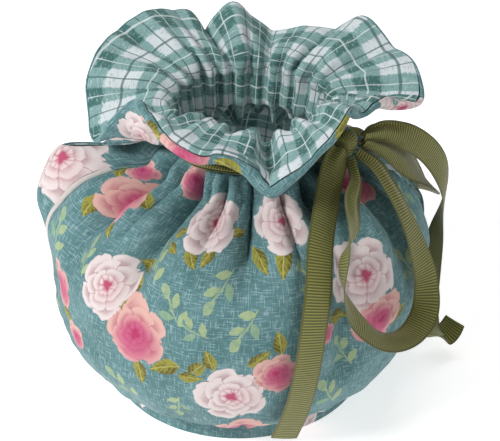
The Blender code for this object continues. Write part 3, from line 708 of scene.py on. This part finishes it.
weave = weave_group()
printed, tree, shader, cloth = cloth_material("printed_cotton")
wash = noise(tree, cloth, 45.0, 3.0)
ground = mixed(tree, wash.step(0.3, 0.7), paint("4F7779"), paint("60868A"))
upright = noise(tree, stretched(tree, cloth, (1700.0, 190.0, 1.0)), 1.0, 1.0)
level = noise(tree, stretched(tree, cloth, (190.0, 1700.0, 1.0)), 1.0, 1.0)
dashes = upright.step(0.55, 0.68) * 0.5 + level.step(0.55, 0.68) * 0.5
ground = mixed(tree, dashes.math("MINIMUM", 0.65), ground, paint("9CB7BB"))
dark_dashes = upright.step(0.44, 0.32) * 0.35 + level.step(0.44, 0.32) * 0.35
ground = mixed(tree, dark_dashes.math("MINIMUM", 0.45), ground, paint("3D6062"))
leaf_place = tree.nodes.new("ShaderNodeUVMap")
leaf_place.uv_map = "leaf"
leaves = placed(tree, leaf_group(), Place=leaf_place.outputs["UV"])
leaf_kind = attribute(tree, "leaf_kind")
is_broad, is_sprig = leaf_kind.step(0.4, 0.6) * leaf_kind.step(1.6, 1.4), leaf_kind.step(1.4, 1.6)
sprig_colour = mixed(tree, Sum(tree, leaves.outputs["Sprig Tone"]), paint("86A385"), paint("A9B886"))
colour = mixed(tree, Sum(tree, leaves.outputs["Sprig Mask"]) * is_sprig * 0.8, ground, sprig_colour)
leaf_colour = mixed(tree, Sum(tree, leaves.outputs["Leaf Tone"]), paint("5C5620"), paint("8F8C3C"))
leaf_colour = mixed(tree, Sum(tree, leaves.outputs["Vein"]) * 0.7, leaf_colour, paint("B9B468"))
colour = mixed(tree, Sum(tree, leaves.outputs["Leaf Mask"]) * is_broad, colour, leaf_colour)
bloom_place = tree.nodes.new("ShaderNodeUVMap")
bloom_place.uv_map = "bloom"
blooms = placed(tree, bloom_group(), Place=bloom_place.outputs["UV"])
bloom_kind = attribute(tree, "bloom_kind")
is_bloom, is_rose = bloom_kind.step(-0.6, -0.4), bloom_kind.step(0.4, 0.6)
shade, distance = Sum(tree, blooms.outputs["Shade"]), Sum(tree, blooms.outputs["Distance"])
white = mixed(tree, shade.step(0.1, 0.85), paint("D8CCCB"), paint("A88589"))
white = mixed(tree, distance.step(0.55, 0.1) * 0.3, white, paint("D9A9AE"))
rose = mixed(tree, distance.step(0.25, 0.8), paint("BF5A7D"), paint("D3A9A0"))
rose = mixed(tree, shade.step(0.1, 0.9) * 0.75, rose, paint("A64763"))
petals = mixed(tree, is_rose, white, rose)
petals = mixed(tree, Sum(tree, blooms.outputs["Heart"]) * 0.85, petals, paint("B03060"))
colour = mixed(tree, Sum(tree, blooms.outputs["Mask"]) * is_bloom, colour, petals)
# Pale strip along the front panel's lapped edge: painted highlight on the fold's ridge, partly the print's
# pale petal colour.
colour = mixed(tree, attribute(tree, "fold_edge_highlight_and_print") * 0.8, colour, paint("E2D3CE"))
tree.links.new(colour, shader.inputs["Base Color"])
relief = placed(tree, weave, Cloth=cloth)
bump(tree, shader, relief.outputs["Height"], 0.35, 0.0003)

panels = {}
for name, turns, cuts, holed in (("outer_front", FRONT_TURNS, 6, False), ("outer_back", BACK_TURNS, 5, True)):
    grid = panel_grid(turns, cuts, holed)
    panels[name] = grid
    grid = with_rolled_edge(grid)
    turn, way = grid[2], grid[3]
    ending = np.clip((way - 3.0) / 0.01 - ROLL_STEPS + 3, 0.0, 3.0) / 3
    thick = CLOTH_THICKNESS * np.sqrt(1.0 - 0.96 * ending**2)
    lap = np.zeros_like(turn)
    if name == "outer_front":
        lap = SEAM_LAP * np.exp(-(((turn - SPOUT_SEAM) / 2.2) ** 2)) * eased((1.0 - way) / 0.1)
    inner, outer = LAYER_CLEARANCE + lap, SHEET_CLEARANCE + thick + lap
    mesh, corners = slab_mesh(name + "_cloth", grid, inner, outer, holed)
    print_places(mesh, corners, "bloom", BLOOMS[name], 1.25)
    print_places(mesh, corners, "leaf", LEAVES[name], 1.15)
    # Faces along the lapped edge by the spout seam are marked for a painted highlight on the fold's ridge,
    # partly pale petal print.
    pale = np.zeros(len(corners))
    if name == "outer_front":
        at = np.degrees(corners[:, :, 0].mean(axis=1) / PRINT_RADIUS)
        height = corners[:, :, 1].mean(axis=1)
        pale = eased((at - SPOUT_SEAM + 1.1) / 0.4) * (height < 0.128)
    edge = mesh.attributes.new("fold_edge_highlight_and_print", "FLOAT", "FACE")
    edge.data.foreach_set("value", pale.astype(np.float32))
    piece = dressed(mesh, printed, name)

# Checked lining.
# The same two panels cut in a printed check, sewn to the outer cloth round the ruffle's rolled edge and
# at the hem, so that it shows on the whole inside of the ruffle and down in the neck.
checked, tree, shader, cloth = cloth_material("checked_cotton")
CHECK_REPEAT = 0.0235
turned = stretched(tree, cloth, (1.0, 1.0, 1.0), 4.0)
u, v = split(tree, turned)
ragged = (noise(tree, stretched(tree, cloth, (300.0, 1100.0, 1.0), 42.0), 1.0, 2.0) - 0.5) * 0.12
tones = []
for along in (u, v):
    share = (along * (1.0 / CHECK_REPEAT) + ragged).math("FRACT")
    band = (share - 0.5).math("ABSOLUTE").step(0.27, 0.21)
    tones.append((band, (along * (1.0 / CHECK_REPEAT) + ragged * 0.12).math("FRACT")))
both = tones[0][0] * 0.5 + tones[1][0] * 0.5
colour = mixed(tree, both.step(0.0, 0.55), paint("CDD5D8"), paint("7CA09E"))
colour = mixed(tree, both.step(0.45, 1.0), colour, paint("426E6A"))
brush = noise(tree, stretched(tree, cloth, (300.0, 1900.0, 1.0), 50.0), 1.0, 2.0)
colour = mixed(tree, brush.step(0.54, 0.68) * 0.45, colour, paint("C9D5D6"))
colour = mixed(tree, brush.step(0.44, 0.3) * 0.45, colour, paint("4B7371"))
for band, share in tones:
    dark_line = share.math("PINGPONG", 0.5).step(0.026, 0.014)
    pale_line = (share - 0.5).math("ABSOLUTE").step(0.022, 0.01)
    colour = mixed(tree, dark_line * 0.75, colour, paint("3D5F60"))
    colour = mixed(tree, pale_line * 0.65, colour, paint("DCE6E6"))
tree.links.new(colour, shader.inputs["Base Color"])
relief = placed(tree, weave, Cloth=cloth)
bump(tree, shader, relief.outputs["Height"], 0.4, 0.0003)

for name, outer in (("lining_front", "outer_front"), ("lining_back", "outer_back")):
    holed = outer == "outer_back"
    way = panels[outer][3]
    fine_from, every = (0.55, 2) if holed else (0.84, 3)
    low = np.arange(len(way))
    low = low[(way[:, 0] > fine_from) | (low % every == 0)]
    thin = tuple(part[low] for part in panels[outer])
    turn, way = thin[2], thin[3]
    roll = np.interp(turn, *np.array(EDGE_ROLL).T)
    thick = CLOTH_THICKNESS + 1.75 * roll * eased((way - 2.78) / 0.2)
    inner, near = -SHEET_CLEARANCE - thick, np.full_like(way, -LAYER_CLEARANCE)
    mesh, corners = slab_mesh(name + "_cloth", thin, inner, near, holed)
    piece = dressed(mesh, checked, name)
    outer + "_cloth"

# Ribbon bow.
# One length of half-inch olive grosgrain, tied round the neck over the casing in a bow by the handle slit,
# with two loops and two cut tails. Grosgrain is woven in cross ribs with a narrow flat edge on both sides.
RIBBON_WIDTH = 0.0125
RIBBON_THICKNESS = 0.0005
RIB_PITCH = 0.00125
BELLY_HEIGHT = 0.07
FRONT_TAIL = (
    # x, y, z, width, twist in degrees from lying flat on the body
    (0.0454, -0.0243, 0.133, 0.0095, 0.0), (0.0423, -0.0305, 0.13, 0.012, 0.0),
    (0.0395, -0.04, 0.1245, 0.0125, 0.0), (0.037, -0.053, 0.1185, 0.0125, 0.0),
    (0.0345, -0.0675, 0.1105, 0.0125, 0.0), (0.0335, -0.08, 0.0975, 0.0125, 0.0),
    (0.0315, -0.0875, 0.08, 0.0125, 0.0), (0.029, -0.09, 0.059, 0.0125, 0.0),
    (0.0255, -0.088, 0.038, 0.0125, 0.0), (0.0205, -0.085, 0.02, 0.0125, 0.0),
)
FRONT_LOOP = (
    (0.0498, -0.0254, 0.129, 0.0045, 0.0), (0.0515, -0.035, 0.1235, 0.008, 10.0),
    (0.049, -0.0465, 0.121, 0.011, 12.0), (0.0485, -0.058, 0.117, 0.0125, 22.0),
    (0.0445, -0.072, 0.108, 0.0125, 75.0), (0.044, -0.079, 0.097, 0.0125, 62.0),
    (0.0485, -0.0805, 0.0845, 0.0125, 45.0), (0.0575, -0.079, 0.073, 0.0125, 55.0),
    (0.0675, -0.072, 0.064, 0.0125, 75.0), (0.077, -0.0625, 0.061, 0.0125, 85.0),
    (0.0835, -0.053, 0.065, 0.0125, 70.0), (0.0845, -0.0455, 0.076, 0.0125, 40.0),
    (0.0805, -0.042, 0.091, 0.0125, 15.0), (0.0745, -0.038, 0.106, 0.0125, 0.0),
    (0.067, -0.03, 0.118, 0.012, 0.0), (0.059, -0.0235, 0.127, 0.0105, 0.0),
    (0.0525, -0.0212, 0.1305, 0.0065, 0.0),
)
BACK_LOOP = (
    (0.0555, -0.0169, 0.1325, 0.0045, 0.0), (0.0655, -0.011, 0.1265, 0.01, -20.0),
    (0.076, -0.004, 0.115, 0.0125, -25.0), (0.086, 0.008, 0.102, 0.0125, 0.0),
    (0.0925, 0.019, 0.089, 0.0125, 35.0), (0.093, 0.03, 0.0795, 0.0125, 60.0),
    (0.0915, 0.0385, 0.0765, 0.0125, 70.0), (0.088, 0.044, 0.084, 0.0125, 60.0),
    (0.0815, 0.0405, 0.097, 0.0125, 30.0), (0.0715, 0.027, 0.113, 0.011, 10.0),
    (0.0615, 0.006, 0.124, 0.008, 0.0), (0.0565, -0.0157, 0.1295, 0.0045, 0.0),
)
BACK_TAIL = (
    (0.0556, -0.017, 0.1358, 0.0045, 0.0), (0.065, -0.011, 0.135, 0.01, -22.0),
    (0.075, -0.007, 0.1305, 0.0125, -40.0), (0.085, -0.003, 0.1225, 0.0125, -50.0),
    (0.093, 0.001, 0.111, 0.0125, -45.0), (0.0975, 0.004, 0.097, 0.0125, -25.0),
    (0.0975, 0.006, 0.082, 0.0125, -5.0), (0.096, 0.007, 0.066, 0.0125, 25.0),
    (0.0955, 0.006, 0.05, 0.0125, 33.0), (0.0955, 0.004, 0.036, 0.0125, 33.0),
    (0.096, 0.001, 0.025, 0.0125, 36.0), (0.0975, -0.001, 0.0165, 0.0125, 45.0),
    (0.1005, -0.0005, 0.0115, 0.0125, 75.0), (0.104, 0.001, 0.011, 0.0125, 95.0),
    (0.1075, 0.003, 0.0135, 0.0125, 120.0), (0.11, 0.005, 0.0175, 0.0125, 137.0),
)


def strip_mesh(name, centre, width_way, face_way, width, run):
    """A thin closed strip along a path, with folds across it where it is narrower than the ribbon."""
    across = np.linspace(-0.5, 0.5, 17)
    spare = np.sqrt(np.maximum(RIBBON_WIDTH**2 - width**2, 0.0)) / 7.0
    folds = spare[:, None] * np.cos(across * 2 * math.pi * 1.5)[None, :]
    cup = 0.0003 * (1.0 - (2 * across[None, :]) ** 2)
    middle = centre[:, None, :] + width_way[:, None, :] * (across[None, :, None] * width[:, None, None])
    middle = middle + face_way[:, None, :] * (folds + cup)[..., None]
    normal = np.cross(np.gradient(middle, axis=0), np.gradient(middle, axis=1))
    normal /= np.linalg.norm(normal, axis=-1, keepdims=True)
    rows, columns = middle.shape[:2]
    half = np.full((rows, columns, 1), RIBBON_THICKNESS / 2)
    half[:, (0, -1)] *= 0.45
    sides = (middle - normal * half, middle + normal * half)
    kept = np.ones((rows - 1, columns - 1), bool)
    flat = np.stack(np.broadcast_arrays(run[:, None], across[None, :] * RIBBON_WIDTH), axis=-1).reshape(-1, 2)
    return closed_sheet(name, sides, kept, flat, 60.0)[0]


def ribbon_mesh(name, route):
    """A ribbon along a route, lying flat on the body unless its twist turns it."""
    rows = np.array(route)
    reach = shares_along(rows[:, :3])
    length = np.linalg.norm(np.diff(rows[:, :3], axis=0), axis=1).sum()
    along = np.linspace(0.0, 1.0, int(length / 0.0008))
    found = through(reach, rows, along)
    ahead = through(reach, rows, np.clip(along + 0.01, 0.0, 1.0))[:, :3]
    behind = through(reach, rows, np.clip(along - 0.01, 0.0, 1.0))[:, :3]
    forward = (ahead - behind) / np.linalg.norm(ahead - behind, axis=1, keepdims=True)
    outward = found[:, :3] * (1.0, 1.0, 0.0)
    outward[:, 2] = np.maximum(found[:, 2] - BELLY_HEIGHT, 0.0)
    outward -= forward * (outward * forward).sum(axis=1, keepdims=True)
    outward /= np.linalg.norm(outward, axis=1, keepdims=True)
    sideways = np.cross(forward, outward)
    twist = np.radians(found[:, 4:5])
    width_way = sideways * np.cos(twist) + outward * np.sin(twist)
    face_way = outward * np.cos(twist) - sideways * np.sin(twist)
    return strip_mesh(name, found[:, :3], width_way, face_way, found[:, 3], along * length), length


grosgrain, tree, shader, cloth = cloth_material("olive_grosgrain")
shader.inputs["Roughness"].default_value = 0.55
shader.inputs["Specular IOR Level"].default_value = 0.4
shader.inputs["Sheen Weight"].default_value = 0.2
u, v = split(tree, cloth)
edge_flat = v.math("ABSOLUTE").step(RIBBON_WIDTH / 2 - 0.0011, RIBBON_WIDTH / 2 - 0.0007)
ribs = (u * (2 * math.pi / RIB_PITCH)).math("SINE") * 0.5 + 0.5
ribs = ribs * (edge_flat * -1.0 + 1.0) + edge_flat * 0.45
thread = noise(tree, stretched(tree, cloth, (400.0, 2600.0, 1.0)), 1.0, 2.0)
# The rib wave paints each rib's crest light and its groove dark: painted highlight and painted shade on the
# ribs, on top of their bump.
colour = mixed(tree, ribs.step(0.1, 0.9), paint("484A1C"), paint("8A8A40"))
colour = mixed(tree, thread.step(0.55, 0.75) * 0.25, colour, paint("9A954E"))
colour = mixed(tree, edge_flat * 0.6, colour, paint("48471A"))
tree.links.new(colour, shader.inputs["Base Color"])
bump(tree, shader, (ribs + thread * 0.25).socket, 0.9, 0.0002)


def ribbon_piece(mesh, node):
    piece = dressed(mesh, grosgrain, node)


for name, route in (
    ("ribbon_front_tail", FRONT_TAIL),
    ("ribbon_front_loop", FRONT_LOOP),
    ("ribbon_back_loop", BACK_LOOP),
    ("ribbon_back_tail", BACK_TAIL),
):
    mesh, length = ribbon_mesh(name + "_strip", route)
    ribbon_piece(mesh, name)

# Band round the neck and the knot.
# The middle of the same ribbon lies bunched up in the groove under the ruffle, and the knot is its two
# ends crossed and pulled tight in front of it.
KNOT_TURN = 21.7
KNOT_CENTRE = np.array((0.0477, -0.0166, 0.1325))
BAND_RADIUS = 0.0398
steps = np.linspace(KNOT_TURN + 10.6, KNOT_TURN + 349.4, 420)
angle = np.radians(-steps)
outward = np.stack([np.cos(angle), np.sin(angle), 0.0 * angle], axis=1)
radius = BAND_RADIUS + 0.0003 * np.sin(np.radians(steps) * 9.0)
centre = outward * radius[:, None] + (NECK_SHIFT, 0.0, 0.132)
centre[:, 2] += 0.0004 * np.sin(np.radians(steps) * 5.0)
upward = np.tile((0.0, 0.0, 1.0), (len(steps), 1))
run = np.radians(steps) * BAND_RADIUS
mesh = strip_mesh("ribbon_band_strip", centre, upward, outward, np.full(len(steps), 0.005), run)
ribbon_piece(mesh, "ribbon_band")

knot_radial = np.array((math.cos(math.radians(KNOT_TURN)), -math.sin(math.radians(KNOT_TURN)), 0.0))
knot_across = np.array((-math.sin(math.radians(KNOT_TURN)), -math.cos(math.radians(KNOT_TURN)), 0.0))
ring, spread = np.meshgrid(np.linspace(0.0, 2 * math.pi, 65)[:-1], np.linspace(-1.0, 1.0, 25))
bulge = np.sqrt(np.clip(1.0 - (np.abs(spread) ** 2.6), 0.02, 1.0))
bulge = bulge * (1.0 + 0.06 * np.sin(spread * 7.0 + ring) + 0.04 * np.sin(spread * 15.0 + 2.0 * ring))
points = (
    KNOT_CENTRE
    + knot_radial * (0.005 * np.cos(ring) * bulge)[..., None]
    + knot_across * (0.0064 * spread)[..., None]
    + np.array((0.0, 0.0, 1.0)) * (0.0056 * np.sin(ring) * bulge)[..., None]
)
rows, columns = ring.shape
index = np.arange(rows * columns).reshape(rows, columns)
after = np.roll(index, -1, axis=1)
around = [index[:-1].ravel(), after[:-1].ravel(), after[1:].ravel(), index[1:].ravel()]
faces = np.stack(around, axis=1).tolist()
faces += [index[0][::-1].tolist(), index[-1].tolist()]
mesh = bpy.data.meshes.new("ribbon_knot_wrap")
mesh.from_pydata((points.reshape(-1, 3) + HEM_MIDDLE).tolist(), [], faces)
mesh.update()
flat = np.stack([ring * 0.0053, spread * RIBBON_WIDTH / 2], axis=-1).reshape(-1, 2)
corners = np.concatenate([flat[face] for face in faces])
mesh.uv_layers.new(name="cloth").data.foreach_set("uv", corners.astype(np.float32).reshape(-1))
mesh.shade_smooth()
dressed(mesh, grosgrain, "ribbon_knot")

# Floor, lights and camera.
# A plain pale floor, soft studio light from the upper left front, and the photograph's raised viewpoint.
bpy.ops.mesh.primitive_plane_add(size=6.0, location=(0.0, 0.0, 0.0))
floor = bpy.context.active_object
floor.name = "floor"
pale = bpy.data.materials.new("pale_floor")
pale.use_nodes = True
shader = pale.node_tree.nodes["Principled BSDF"]
shader.inputs["Base Color"].default_value = (0.9, 0.9, 0.9, 1.0)
shader.inputs["Roughness"].default_value = 0.9
shader.inputs["Emission Color"].default_value = (1.0, 1.0, 1.0, 1.0)
shader.inputs["Emission Strength"].default_value = 0.6
floor.data.materials.append(pale)

world = bpy.data.worlds.new("studio")
world.use_nodes = True
background = world.node_tree.nodes["Background"]
background.inputs["Color"].default_value = (1.0, 1.0, 1.0, 1.0)
background.inputs["Strength"].default_value = 0.18
bpy.context.scene.world = world
for name, place, aim, size, power in (
    ("key", (-0.78, -0.46, 0.8), (0.0, 0.0, 0.07), 0.28, 10.4),
    ("fill", (0.8, -0.7, 0.5), (0.0, 0.0, 0.07), 0.6, 1.9),
    ("top", (0.1, 0.3, 1.1), (0.0, 0.0, 0.08), 0.5, 2.8),
):
    bpy.ops.object.light_add(type="AREA", location=place)
    light = bpy.context.active_object
    light.name = name
    light.data.size, light.data.energy = size, power
    light.rotation_euler = (Vector(aim) - Vector(place)).to_track_quat("-Z", "Y").to_euler()

CAMERA_ELEVATION = math.radians(34.0)
CAMERA_DISTANCE = 0.62
AIM_HEIGHT = 0.064
PICTURE_WIDTH = 500
PIXELS_TO_A_METRE = 2070
SENSOR_WIDTH = 36.0
aim = Vector(HEM_MIDDLE.tolist()) + Vector((0.0, 0.0, AIM_HEIGHT))
back = Vector((0.0, -math.cos(CAMERA_ELEVATION), math.sin(CAMERA_ELEVATION)))
bpy.ops.object.camera_add(location=aim + back * CAMERA_DISTANCE)
camera = bpy.context.active_object
camera.rotation_euler = (-back).to_track_quat("-Z", "Y").to_euler()
camera.data.sensor_width = SENSOR_WIDTH
camera.data.lens = PIXELS_TO_A_METRE * CAMERA_DISTANCE * SENSOR_WIDTH / PICTURE_WIDTH
camera.data.shift_x = 12.0 / PICTURE_WIDTH
camera.data.shift_y = 29.5 / PICTURE_WIDTH
bpy.context.scene.camera = camera
bpy.context.scene.view_settings.view_transform = "Standard"
